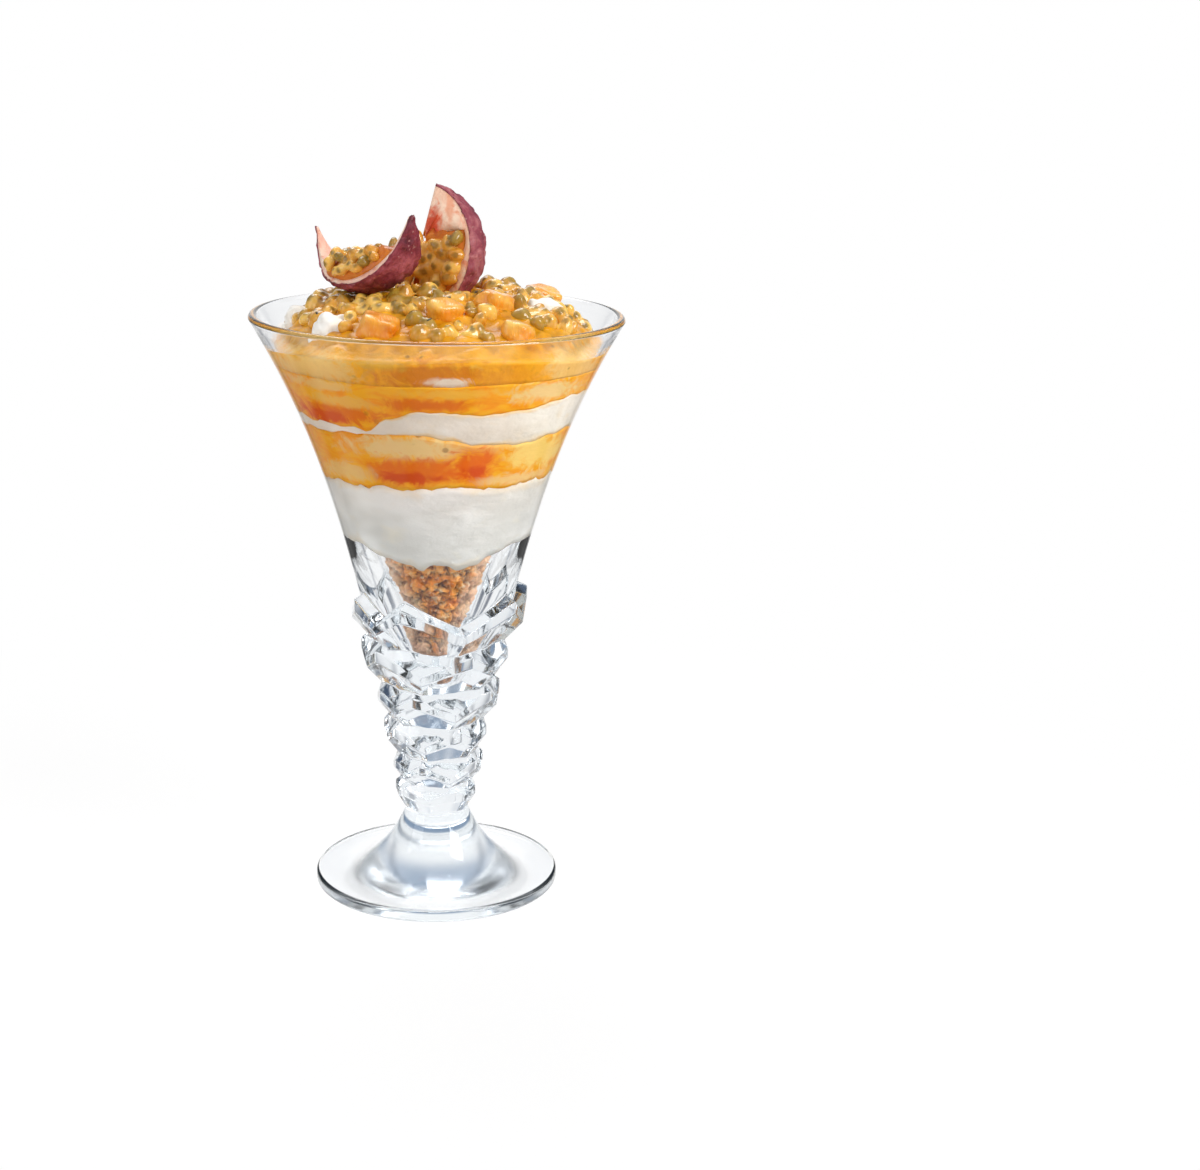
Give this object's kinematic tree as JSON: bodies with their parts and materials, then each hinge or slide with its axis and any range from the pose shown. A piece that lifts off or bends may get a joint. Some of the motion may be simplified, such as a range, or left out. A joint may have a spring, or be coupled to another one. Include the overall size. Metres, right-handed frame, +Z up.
{
  "type": "parfait glass",
  "caption": "Footed pressed-glass parfait glass with a flared bowl and a stem of stacked zigzag facets, holding a layered fruit and cream parfait under fruit wedges.",
  "frame": {"origin": "centre of the foot's underside, on the table", "axes": "+Z up along the glass's axis, towards the rim; -Y is the front that the picture looks at"},
  "size_m": [0.112, 0.112, 0.2182],
  "materials": {
    "glass": "clear polished",
    "crumble": "rough baked crumble",
    "cream": "smooth moist cream",
    "coulis": "glossy fruit coulis",
    "pulp": "wet fruit pulp",
    "mango": "wet cut fruit",
    "aril": "clear juicy sacs",
    "seed": "dark seed",
    "skin": "wrinkled dark fruit skin",
    "pith": "matt pale pith"
  },
  "bodies": {
    "glass": {"glass": "glass"},
    "parfait": {"crumble": "crumble", "cream_lower": "cream", "coulis_lower": "coulis", "cream_upper": "cream", "coulis_upper": "coulis", "topping": "pulp", "mango": "mango", "cream_dollops": "cream", "arils": "aril", "seeds": "seed"},
    "wedge_left": {"left_skin": "skin", "left_pith": "pith", "left_pulp": "pulp"},
    "wedge_right": {"right_skin": "skin", "right_pith": "pith", "right_pulp": "pulp"}
  },
  "joints": [
    {"name": "parfait_lift", "type": "slide", "parent": "glass", "child": "parfait", "axis": [0, 0, 1], "range_m": [0, 0.11]},
    {"name": "left_wedge_lift", "type": "slide", "parent": "parfait", "child": "wedge_left", "axis": [0, 0, 1], "range_m": [0, 0.04]},
    {"name": "right_wedge_lift", "type": "slide", "parent": "parfait", "child": "wedge_right", "axis": [0.2079, 0, 0.9781], "range_m": [0, 0.04]}
  ]
}
